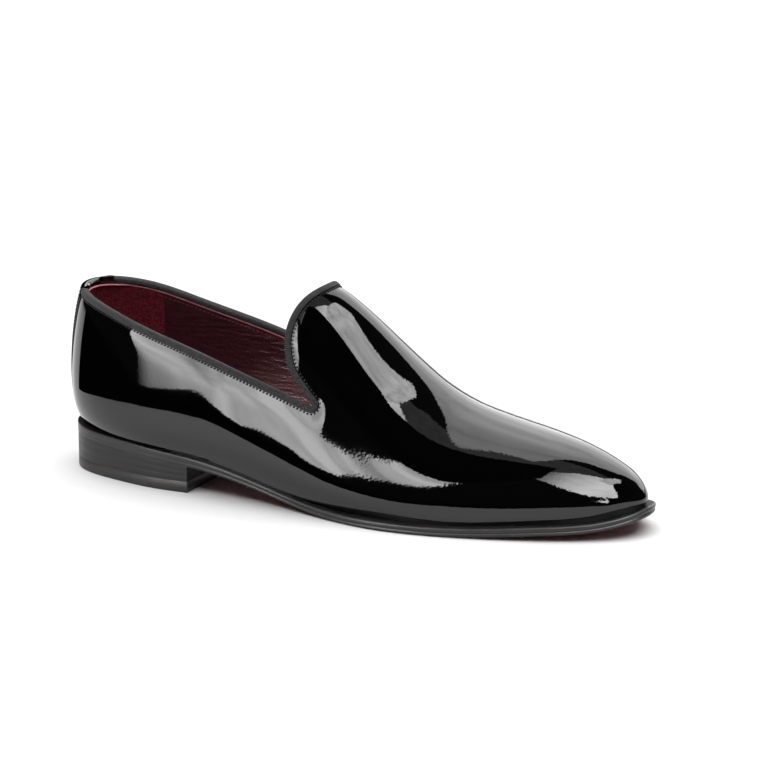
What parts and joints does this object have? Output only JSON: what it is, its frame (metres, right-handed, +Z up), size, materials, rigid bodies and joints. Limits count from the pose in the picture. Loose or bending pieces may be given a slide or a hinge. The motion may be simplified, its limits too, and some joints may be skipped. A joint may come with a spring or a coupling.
{
  "type": "patent leather loafer",
  "caption": "Black patent slip-on loafer for the right foot: whole-cut upper with integral tongue, ribbon-bound collar, leather sole and stacked heel.",
  "frame": {"origin": "on the floor, under the middle of the shoe's box", "axes": "+X from heel to toe, +Y towards the inner side of the foot, +Z up"},
  "size_m": [0.2998, 0.098, 0.1016],
  "materials": {
    "patent_leather": "high gloss patent",
    "grosgrain": "ribbed ribbon",
    "sock_leather": "smooth lining leather",
    "sole_leather": "waxed edge, dyed underside",
    "heel_leather": "waxed stacked leather",
    "top_piece_rubber": "matt"
  },
  "bodies": {
    "root": {"upper": "patent_leather", "back_strip": "patent_leather", "collar_binding": "grosgrain", "insole": "sock_leather", "outsole": "sole_leather", "heel": "heel_leather", "top_piece": "top_piece_rubber"}
  },
  "joints": []
}
